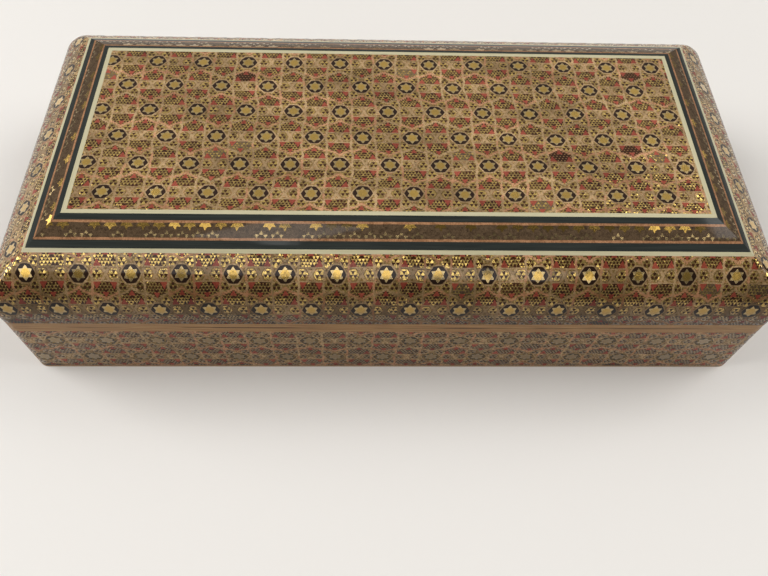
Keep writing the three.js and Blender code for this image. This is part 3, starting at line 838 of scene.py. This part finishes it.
# %% The sheets on the lid's and the base's sides
# On the lid's sides fade and shine paint shade: woods and brass grow darker from the shoulder down
# to the rim, and the brass is painted lighter at the top.
LID_SIDE = dict(
    section=shoulder_section, star=(-86.15, -4.9), pitch=12.12, rise=9.7, drift=0.5,
    tones=(0.15, 0.8), fade=1.0, shine=(1.2, 0.0))
BASE_SIDE = dict(
    section=base_section, star=(-88.0, -5.2), pitch=13.3, rise=9.9, drift=0.5,
    tones=(0.0, 0.8), fade=0.0, shine=(0.2, 0.2), wear_and_shadow_breaks=0.45)
LID_SEED, BASE_SEED = 11, 21

for number, side in enumerate(SIDES):
    shoulder = SHOULDER_SHORT if side in ENDS else SHOULDER_LONG
    for body, height, seed, look in (
            ("lid", shoulder, LID_SEED, LID_SIDE), ("base", BASE_SHEET, BASE_SEED, BASE_SIDE)):
        sheet = khatam_side(
            f"{body}_khatam_sheet_{side}", side, height=height, seed=seed + number, **look)
        set_in_place(sheet, body, f"{body}_khatam_{side}")


# %% The border bands
BAND_TONES, BAND_SHINE = (0.1, 0.65), 0.6
BAND_SEED, BAND_WAVE_SEED = 41, 31
BAND_STRETCH = 1.13  # its rods are wider than they are high
BAND_WAVES = 1.7  # its waves are shorter by this factor


def border_band(side):
    """The narrow khatam with an orange fillet on both edges, between the two black strips."""
    rod_row = BORDER / BAND_ROWS
    rod = rod_row * BAND_STRETCH
    half = mitre_reach(side, band_section, np.array([BORDER]))[0]
    x, y, triangles = triangle_grid((-half / rod - 2, half / rod + 2), (0, BAND_ROWS))
    marks = np.stack(band_rods(x[triangles].mean(1), y[triangles].mean(1)), 1)
    places = np.stack([x * rod, (y - BAND_ROWS) * rod_row], 1)
    free = np.sin(np.pi * y / BAND_ROWS)[:, None]
    places += free * waves(places * BAND_WAVES, SIDES.index(side) + BAND_WAVE_SEED)
    limit = mitre_reach(side, band_section, -places[:, 1]) - JOINT - np.abs(places[:, 0])
    places, triangles, marks = trimmed(places, triangles, marks, limit)
    across, down = places[:, 0], -places[:, 1]
    outer, inner = (lay(side, band_section, across, down, depth) for depth in (0.0, SHEET))
    return solid_sheet(f"border_band_{side}", outer, inner, triangles, marks, BAND_TONES,
                       BAND_SHINE, BAND_SEED)


for side in SIDES:
    set_in_place(border_band(side), "lid", f"khatam_border_{side}")


# %% [markdown]
# Woods. The strips, banding and boards keep their shape from the frame and only need their finish.
# Wood is streaks along the grain: noise that is stretched thirty times along one axis, in a band
# of two tones. Pieces on the short sides run across the box, so the stretch axis is chosen. Along
# the joint of the two bandings, a dark line of painted shadow stands in for the gap between lid
# and base.

# %% Wood finishes
GRAIN_LENGTH, GRAIN_WIDTH = 14 * MM, 0.45 * MM
GRAIN_RELIEF = 0.03 * MM
# Painted shadow along the joint of the two bandings: its colour, and how far it reaches.
JOINT_SHADOW_COLOUR, JOINT_SHADOW_REACH = "#45291B", 0.22 * MM  # its colour, and how far it reaches from the joint
JOINT_SHADOW_PATCHES = 40.0  # per metre, so it comes and goes every 25 mm
MAX_RISE = 0.5  # of a face's normal: faces that rise or fall less are upright


def painted_joint_shadow(tree, place, colour):
    """A colour with a dark line of painted shadow along the parting line, on upright faces only,
    broken into patches by noise.
    """
    level = add_node(tree, "SeparateXYZ", {0: place}).outputs["Z"]
    facing = add_node(tree, "TexCoord").outputs["Normal"]
    rise = add_node(tree, "SeparateXYZ", {0: facing}).outputs["Z"]
    outside = add_node(tree, "Math", {0: rise, 1: 0.0, 2: MAX_RISE}, operation="COMPARE")
    near = add_node(tree, "Math", {0: level, 1: PARTING * MM, 2: JOINT_SHADOW_REACH}, operation="COMPARE")
    wear_and_shadow_breaks = add_node(tree, "TexNoise", {"Vector": place, "Scale": JOINT_SHADOW_PATCHES, "Detail": 3.0})
    # Noise breaks the painted shadow into patches along the joint.
    painted_shadow = add_node(tree, "MapRange", {0: wear_and_shadow_breaks, 1: 0.42, 2: 0.56})
    for mask in (near, outside):
        painted_shadow = add_node(tree, "Math", {0: mask, 1: painted_shadow}, operation="MULTIPLY")
    return add_node(tree, "Mix", {"Factor": painted_shadow, MIX_A: colour, MIX_B: JOINT_SHADOW_COLOUR}, data_type="RGBA")


def wood(name, dark, light, roughness, along="x", coat=True, streak=0.6, joint_shadow=False):
    """Straight-grained wood, its grain along x or y. A small streak makes its lines sharper, and
    the last switch paints shadow as a dark line along the joint."""
    material, tree, shader, place = new_material(name)
    scale = [1 / GRAIN_WIDTH] * 3
    scale["xy".index(along)] = 1 / GRAIN_LENGTH
    stretch = add_node(tree, "Mapping", {"Vector": place, "Scale": scale})
    fibres = add_node(tree, "TexNoise", {
        "Vector": stretch, "Scale": 1.0, "Detail": 5.0, "Roughness": 0.6})
    band = add_node(tree, "MapRange", {0: fibres, 1: 0.5 - streak / 2, 2: 0.5 + streak / 2})
    colour = add_node(tree, "Mix", {"Factor": band, MIX_A: dark, MIX_B: light}, data_type="RGBA")
    relief = add_node(tree, "Bump", {"Height": fibres, "Distance": GRAIN_RELIEF, "Strength": 0.6})
    set_inputs(tree, shader, {
        "Base Color": painted_joint_shadow(tree, place, colour) if joint_shadow else colour,
        "Normal": relief, "Roughness": roughness})
    if coat:
        lacquer(tree, shader, place)
    return material


def dress(node, material):
    """Gives a piece of the frame its finish."""
    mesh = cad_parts[node].data
    mesh.materials.clear()
    mesh.materials.append(material)


black, white, banding, core = (
    {way: wood(f"{name}_{way}", dark, light, roughness, way, **more) for way in "xy"}
    for name, dark, light, roughness, more in (
        ("black_dyed_wood", "#242725", "#3B3F3B", 0.3, {}),
        ("ivory_line", "#B4AB88", "#D2CAA8", 0.35, {"streak": 0.9}),
        # The bandings take the painted shadow along the joint.
        ("light_banding", "#704824", "#B8915F", 0.4, {"joint_shadow": True}),
        ("planed_core", "#8A6844", "#B08C60", 0.55, {"coat": False})))
WOODEN = {
    "inner_white_line": white, "outer_white_line": white, "inner_black_strip": black,
    "outer_black_strip": black, "lid_lip": banding, "base_lip": banding, "lid_rail": core,
    "base_wall": core}
for side in SIDES:
    for node, finish in WOODEN.items():
        dress(f"{node}_{side}", finish["y" if side in ENDS else "x"])
for node in ("lid_board", "floor_board"):
    dress(node, core["x"])

# %% [markdown]
# Brass fittings. The hinges are rolled sheet brass. It has gone a little brown in the hollows, and
# rolling left fine lines along the leaf, so the roughness changes slightly along one axis. Two
# nails hold each leaf. They are filed flush, since the leaves lie on each other in the closed box,
# so all that shows of them is the fine dark line round each head. The line is drawn by the
# distance from the nearest nail, with the places of all nails folded onto one.

# %% Brass
NAIL_FROM_MIDDLE, NAIL_FROM_PIN, NAIL_RADIUS, NAIL_LINE = 5.4, 3.3, 0.75, 0.09
HINGE_X, PIN_Y = 55.0, 45.75
ROLLING = (120, 4000, 4000)  # lines per metre along and across the leaf
TARNISH = 350.0  # patches per metre, some 3 mm each


def sheet_brass():
    """Rolled brass, lightly tarnished, with the outlines of flush nail heads."""
    material, tree, shader, place = new_material("rolled_sheet_brass")
    lines = add_node(tree, "Mapping", {"Vector": place, "Scale": ROLLING})
    rolled = add_node(tree, "TexNoise", {"Vector": lines, "Scale": 1.0, "Detail": 3.0})
    tarnish = add_node(tree, "TexNoise", {"Vector": place, "Scale": TARNISH, "Detail": 4.0})
    colour = add_node(
        tree, "Mix", {"Factor": tarnish, MIX_A: "#8E6A34", MIX_B: "#DDB463"}, data_type="RGBA")
    dull = add_node(tree, "MapRange", {0: rolled, 3: 0.25, 4: 0.45})

    fold = place
    for centre in ((HINGE_X, PIN_Y - NAIL_FROM_PIN, 0), (NAIL_FROM_MIDDLE, 0, 0)):
        fold = add_node(tree, "VectorMath", {0: fold}, operation="ABSOLUTE")
        fold = add_node(tree, "VectorMath", {
            0: fold, 1: [length * MM for length in centre]}, operation="SUBTRACT")
    flat = add_node(tree, "VectorMath", {0: fold, 1: (1, 1, 0)}, operation="MULTIPLY")
    away = add_node(tree, "VectorMath", {0: flat}, operation="LENGTH")
    line = add_node(tree, "Math", {
        0: away, 1: NAIL_RADIUS * MM, 2: NAIL_LINE * MM}, operation="COMPARE")
    colour = add_node(
        tree, "Mix", {"Factor": line, MIX_A: colour, MIX_B: "#3A2A16"}, data_type="RGBA")
    set_inputs(tree, shader, {"Base Color": colour, "Roughness": dull, "Metallic": 1.0})
    return material


brass = sheet_brass()
for hand in ENDS:
    for piece in ("base_leaf", "lid_leaf", "pin"):
        dress(f"hinge_{hand}_{piece}", brass)


# %% [markdown]
# Velvet. Cotton velvet is short upright pile on a woven ground. Seen along the pile it is dark,
# seen across it at the edges it lights up, so it is a rough dark cloth with a strong sheen.
# Strokes of the hand leave the pile lying in soft patches.

# %% Velvet
PILE = 0.5 * MM  # drawn as coarse as it needs to show
PILE_DEPTH = 0.25 * MM
STROKES = 60.0  # per metre, about as wide as a fingertip


def velvet_cloth():
    """Deep red cotton velvet."""
    material, tree, shader, place = new_material("red_cotton_velvet")
    strokes = add_node(tree, "TexNoise", {"Vector": place, "Scale": STROKES, "Detail": 3.0})
    pile = add_node(tree, "TexNoise", {"Vector": place, "Scale": 1 / PILE, "Detail": 2.0})
    both = add_node(tree, "Math", {0: pile, 1: strokes}, operation="MULTIPLY")
    tone = add_node(tree, "MapRange", {0: both, 1: 0.12, 2: 0.42})
    colour = add_node(
        tree, "Mix", {"Factor": tone, MIX_A: "#4A0A16", MIX_B: "#8E1E30"}, data_type="RGBA")
    nap = add_node(tree, "Bump", {"Height": pile, "Distance": PILE_DEPTH, "Strength": 0.7})
    set_inputs(tree, shader, {
        "Base Color": colour, "Normal": nap, "Roughness": 0.9,
        "Sheen Weight": 0.6, "Sheen Roughness": 0.35, "Sheen Tint": "#C8485A"})
    return material


velvet = velvet_cloth()

# %% [markdown]
# The linings are velvet on thin card: a band round the walls of the base and a moulded tray in the
# lid, with a cove all round its ceiling. Both are one outline carried round the inside of the box,
# a rectangle with slightly rounded corners. Glue never lets cloth lie dead flat, so the faces
# swell and dip by a tenth of a millimetre. The edges that show are turned over, so they are round.

# %% Lining sizes
CARD = 1.2  # thickness of card and cloth together
LINING_INSET = 7.5  # from the outside of the rim to the back of the card
CLEAR = 0.03  # the cloth keeps this far off the wood
WALL_TOP, LINING_FOOT, TRAY_FOOT = 23.1, 3.2, 25.1
TRAY_CEILING, COVE_WIDTH, COVE_HEIGHT = 40.1, 8.0, 7.2
BACK, FACE = LINING_INSET + CLEAR, LINING_INSET + CARD  # insets of the two faces
CEILING_RINGS = (4, 10, 18)  # further in than the cove
LEAST_CORNER = 0.2  # radius of the corners against the wood
SIDE_STEPS, CORNER_STEPS = 48, 6
SWELL_LENGTHS, SWELL_PUSH = (14, 23, 37), 0.03
CLOTH_CREASE = 80  # degrees from which a fold of the cloth shows as an edge


# %% Sweeping an outline round the inside
def rounded_rectangle(half_x, half_y, radius):
    """Points round a rectangle, evenly spaced on each side and on each corner's quarter."""
    angles = np.linspace(0, np.pi / 2, CORNER_STEPS + 1)
    points = []
    for turn, (sx, sy) in enumerate(((1, 1), (-1, 1), (-1, -1), (1, -1))):
        centre = np.array([sx * (half_x - radius), sy * (half_y - radius)])
        arc = angles + turn * np.pi / 2
        points.append(centre + radius * np.stack([np.cos(arc), np.sin(arc)], 1))
    sides = []
    for corner, following in zip(points, points[1:] + points[:1]):
        share = np.linspace(0, 1, SIDE_STEPS + 1)[1:-1, None]
        sides += [corner, corner[-1] + share * (following[0] - corner[-1])]
    return np.concatenate(sides)


def swell(points, seed):
    """A push of up to about 0.1 mm in all directions: slow sines of the points' place."""
    draw = np.random.default_rng(seed)
    push = np.zeros_like(points)
    for length in SWELL_LENGTHS:
        way = draw.normal(size=3)
        turn = points @ (way / np.linalg.norm(way)) / length + draw.random()
        push += SWELL_PUSH * np.sin(2 * np.pi * turn)[:, None] * draw.normal(size=3)
    return push


def ring_faces(rings, count, closed):
    """Quads between each ring of points and the next, and, if closed, from last to first."""
    rows = np.arange(rings if closed else rings - 1)
    row, column = np.meshgrid(rows, np.arange(count), indexing="ij")
    at = np.arange(rings * count).reshape(rings, count)
    after, beside = (row + 1) % rings, (column + 1) % count
    quads = [at[row, column], at[row, beside], at[after, beside], at[after, column]]
    return np.stack(quads, -1).reshape(-1, 4)


def rounded_edge(inset, height, thickness, start, end, steps=7):
    """Half a turn over an edge: insets and heights from one face to the other."""
    angle = np.radians(np.linspace(start, end, steps))
    radius = thickness / 2
    return [(inset + radius - radius * np.cos(a), height + radius * np.sin(a)) for a in angle]


def straight_run(inset, start, end, steps):
    """Insets and heights up or down a face, without the first."""
    return [(inset, height) for height in np.linspace(start, end, steps)[1:]]


def sweep(outline):
    """Points for an outline of insets and heights, and how many lie in a ring. The corners are
    a millimetre rounder on the face that shows than against the wood."""
    rings = []
    for inset, height in outline:
        radius = LEAST_CORNER + np.clip((inset - LINING_INSET) / CARD, 0, 1)
        ring = rounded_rectangle(RIM_X - inset, RIM_Y - inset, radius)
        rings.append(np.column_stack([ring, np.full(len(ring), height)]))
    return np.concatenate(rings), len(rings[0])


# %% The linings
WALL_SEED, TRAY_SEED = 51, 52
TRAY_SHOWS = 0.62  # the share of the tray's points before its face begins


def wall_band():
    """The band of velvet round the inside of the base."""
    foot, top = LINING_FOOT + CLEAR, WALL_TOP - CARD / 2
    outline = [(BACK, foot)] + straight_run(BACK, foot, top, 9)
    outline += rounded_edge(BACK, top, CARD - CLEAR, 0, 180)[1:]
    outline += straight_run(FACE, top, foot, 14)
    points, count = sweep(outline)
    inner = np.repeat([inset > LINING_INSET + CARD / 2 for inset, _ in outline], count)
    shows = inner & (points[:, 2] > foot + 1)
    points += shows[:, None] * swell(points, WALL_SEED) * [1, 1, 0]
    faces = ring_faces(len(outline), count, True)
    return make_object("wall_velvet", points, faces, [velvet], sharp=CLOTH_CREASE)


def lid_tray():
    """The moulded tray of velvet in the lid: down its back, round the foot, up the face and along
    the cove to the ceiling."""
    foot = TRAY_FOOT + CARD / 2
    turns = np.radians(np.linspace(0, 90, 13))

    def cove(inset, grow):
        wide, high, top = COVE_WIDTH - grow, COVE_HEIGHT - grow, TRAY_CEILING - grow
        return [(inset + wide * (1 - np.cos(a)), top - high * (1 - np.sin(a))) for a in turns]

    outline = cove(BACK, CLEAR)[::-1]
    outline += straight_run(BACK, outline[-1][1], foot, 5)
    outline += rounded_edge(BACK, foot, CARD - CLEAR, 0, -180)[1:]
    outline += straight_run(FACE, foot, TRAY_CEILING - COVE_HEIGHT, 7)[:-1] + cove(FACE, CARD)
    last, ceiling = outline[-1]
    outline += [(last + further, ceiling) for further in CEILING_RINGS]
    points, count = sweep(outline)
    shows = np.arange(len(points)) > len(points) * TRAY_SHOWS
    points += shows[:, None] * swell(points, TRAY_SEED)
    faces = ring_faces(len(outline), count, False)[:, ::-1].tolist()
    faces.append(np.arange(count).tolist())
    faces.append(np.arange(len(points) - count, len(points))[::-1].tolist())
    return make_object("lid_velvet", points, faces, [velvet], sharp=CLOTH_CREASE)


set_in_place(wall_band(), "base", "wall_lining")
set_in_place(lid_tray(), "lid", "lid_lining")

# %% [markdown]
# The floor pad is velvet over wadding, glued down along its edges. It is made as a thin closed
# cushion and blown up by a cloth simulation while its underside is held, so that it crowns in the
# middle and draws in along its edges. What it may rise is capped, since the wadding is thin.

# %% Floor pad
PAD_INSET, PAD_FOOT = 9.0, 3.2 + CLEAR
PAD_RIM, PAD_EDGE, PAD_CROWN = 0.7, 2.0, 2.9  # how thick it is at its rim, behind it, and midway
PAD_CELL = 2.4  # mm between points
PAD_PRESSURE, PAD_FRAMES = 4, 20


def pad_shell():
    """A flat closed cushion with a rounded edge, a grid on each face."""
    half_x, half_y = RIM_X - PAD_INSET - CLEAR, RIM_Y - PAD_INSET - CLEAR
    steps = [np.linspace(-1, 1, int(2 * half / PAD_CELL) + 1) for half in (half_x, half_y)]
    x, y = np.meshgrid(*steps, indexing="ij")
    edge = np.minimum((1 - np.abs(x)) * half_x, (1 - np.abs(y)) * half_y)
    lift = np.sqrt(np.clip(1 - (1 - np.clip(edge / PAD_EDGE, 0, 1)) ** 2, 0, 1))
    height = PAD_FOOT + PAD_RIM + (PAD_EDGE - PAD_RIM) * lift
    top = np.stack([x * half_x, y * half_y, height], -1)
    low = np.stack([x * half_x, y * half_y, np.full_like(x, PAD_FOOT)], -1)
    count = x.size
    at = np.arange(count).reshape(x.shape)
    quads = np.stack([at[:-1, :-1], at[1:, :-1], at[1:, 1:], at[:-1, 1:]], -1).reshape(-1, 4)
    rim = np.concatenate([at[:-1, 0], at[-1, :-1], at[:0:-1, -1], at[0, :0:-1]])
    side = np.stack([rim + count, np.roll(rim, -1) + count, np.roll(rim, -1), rim], -1)
    points = np.concatenate([top.reshape(-1, 3), low.reshape(-1, 3)])
    return points, np.concatenate([quads, quads[:, ::-1] + count, side]), count


def blown_up(made, points, count):
    """How far each point of the cushion moves, in mm, when a cloth simulation inflates it."""
    held = made.vertex_groups.new(name="glued")
    held.add(np.arange(count, len(points)).tolist(), 1.0, "REPLACE")
    cloth = made.modifiers.new("stuffing", "CLOTH")
    cloth.settings.use_pressure = True
    cloth.settings.uniform_pressure_force = PAD_PRESSURE
    cloth.settings.effector_weights.gravity = 0
    cloth.settings.vertex_group_mass = "glued"
    for step in range(1, PAD_FRAMES + 1):
        bpy.context.scene.frame_set(step)
    solved = made.evaluated_get(bpy.context.evaluated_depsgraph_get())
    blown = np.empty(len(points) * 3)
    solved.data.vertices.foreach_get("co", blown)
    made.modifiers.clear()
    made.vertex_groups.clear()
    bpy.context.scene.frame_set(1)
    return blown.reshape(-1, 3) / MM - points


def floor_pad():
    """Inflates the cushion, caps its rise and takes the result as its mesh."""
    points, faces, count = pad_shell()
    made = make_object("velvet_pad", points, faces, [velvet], sharp=CLOTH_CREASE)
    rise = blown_up(made, points, count)[:count, 2]
    x, y = (points[:count, :2] / points[:, :2].max(0)).T
    room = np.sqrt(np.clip((1 - x ** 2) * (1 - y ** 2), 0, 1))
    lift = np.clip(rise, 0, (PAD_CROWN - PAD_EDGE) * room)
    points[:count, 2] += lift
    made.data.vertices.foreach_set("co", (points * MM).ravel())
    made.data.update()
    print("pad rises by", round(float(lift.max()), 2), "mm")
    return made


pad = floor_pad()
set_in_place(pad, "base", "floor_pad")

# %% [markdown]
# Camera, light and floor. The camera stands where the photograph was taken from: close, looking
# down steeply, turned and tipped a few degrees. Its place was worked out from the corners of the
# lid's two white lines.

# %% Camera
PITCH, YAW, ROLL = np.radians((60.45, 3.42, 3.22))
CAMERA_X, CAMERA_Y, CAMERA_Z = -6.80, -118.89, 124.46  # from the middle of the lid's top
FOCAL_PIXELS, FRAME_PIXELS, SENSOR = 638.6, 768, 36


def add_camera():
    """Looks along forward, with right and up rolled about it."""
    forward = np.array([np.sin(YAW) * np.cos(PITCH), np.cos(YAW) * np.cos(PITCH), -np.sin(PITCH)])
    right = np.array([np.cos(YAW), -np.sin(YAW), 0])
    up = np.cross(right, forward)
    rolled_right = np.cos(ROLL) * right + np.sin(ROLL) * up
    rolled_up = np.cos(ROLL) * up - np.sin(ROLL) * right
    axes = np.column_stack([rolled_right, rolled_up, -forward])
    data = bpy.data.cameras.new("camera")
    data.sensor_width = SENSOR
    data.lens = SENSOR * FOCAL_PIXELS / FRAME_PIXELS
    data.clip_start = 0.01
    camera = new_object("camera", data)
    camera.matrix_world = Matrix(axes.tolist()).to_4x4()
    camera.location = Vector((CAMERA_X, CAMERA_Y, LID_TOP + CAMERA_Z)) * MM
    bpy.context.scene.camera = camera


add_camera()

# %% Floor and lights
FLOOR_SIZE = 4.0
FLOOR_FADE = 0.45, 1.0  # metres from the box over which the table turns into plain background
BACKGROUND = "#F1EFEA"


def add_floor():
    """A pale table top. Far from the box the camera sees the background in its place."""
    material, tree, shader, place = new_material("pale_table")
    cloth = add_node(tree, "TexNoise", {"Vector": place, "Scale": 3.0, "Detail": 2.0})
    colour = add_node(
        tree, "Mix", {"Factor": cloth, MIX_A: "#E9E5DF", MIX_B: "#F0ECE7"}, data_type="RGBA")
    set_inputs(tree, shader, {"Base Color": colour, "Roughness": 0.7})
    far = add_node(tree, "VectorMath", {0: place}, operation="LENGTH")
    fade = add_node(tree, "MapRange", {0: far, 1: FLOOR_FADE[0], 2: FLOOR_FADE[1]})
    rays = add_node(tree, "LightPath").outputs["Is Camera Ray"]
    share = add_node(tree, "Math", {0: fade, 1: rays}, operation="MULTIPLY")
    plain = add_node(tree, "Emission", {"Color": BACKGROUND, "Strength": 1.0})
    surface = add_node(tree, "MixShader", {0: share, 1: shader, 2: plain})
    set_inputs(tree, tree.nodes["Material Output"], {"Surface": surface})
    half = FLOOR_SIZE / 2 / MM
    square = [(-half, -half, 0), (half, -half, 0), (half, half, 0), (-half, half, 0)]
    make_object("floor", square, [(0, 1, 2, 3)], [material])


def add_softbox(name, turn, elevation, distance, size, radiance):
    """A softbox that faces the box. turn counts from the front towards the right, in degrees."""
    turn, elevation = np.radians((turn, elevation))
    flat = np.cos(elevation)
    towards = Vector((np.sin(turn) * flat, -np.cos(turn) * flat, np.sin(elevation)))
    data = bpy.data.lights.new(name, "AREA")
    data.shape = "RECTANGLE"
    data.size, data.size_y = size
    data.energy = radiance * np.pi * size[0] * size[1]
    lamp = new_object(name, data)
    lamp.location = towards * distance
    lamp.rotation_euler = towards.to_track_quat("Z", "Y").to_euler()


def add_world(low, high):
    """Soft light from all round, from low at the horizon to high overhead. The camera sees the
    pale background."""
    world = bpy.data.worlds.new("studio")
    bpy.context.scene.world = world
    world.use_nodes = True
    tree = world.node_tree
    way = add_node(tree, "TexCoord").outputs["Generated"]
    rise = add_node(tree, "SeparateXYZ", {0: way}).outputs["Z"]
    fade = add_node(tree, "MapRange", {0: rise, 1: 0.0, 2: 1.0, 3: low, 4: high})
    rays = add_node(tree, "LightPath").outputs["Is Camera Ray"]
    level = add_node(tree, "Mix", {0: rays, 2: fade, 3: 1.0}, data_type="FLOAT")
    set_inputs(tree, tree.nodes["Background"], {"Color": BACKGROUND, "Strength": level})


add_floor()
for name, turn, elevation, distance, size, radiance in (
    ("window left", -98, 36, 1.6, (1.1, 1.1), 5.2),
    ("window right", 100, 42, 1.6, (1.1, 1.1), 3.6),
    ("behind", 180, 48, 1.8, (3.2, 1.2), 0.36),
    ("overhead", -33, 74, 1.2, (0.22, 0.3), 2.4),
    ("front", -15, 53, 1.3, (1.4, 0.28), 1.7),
):
    add_softbox(name, turn, elevation, distance, size, radiance)
add_world(0.26, 0.1)
bpy.context.scene.view_settings.view_transform = "Standard"
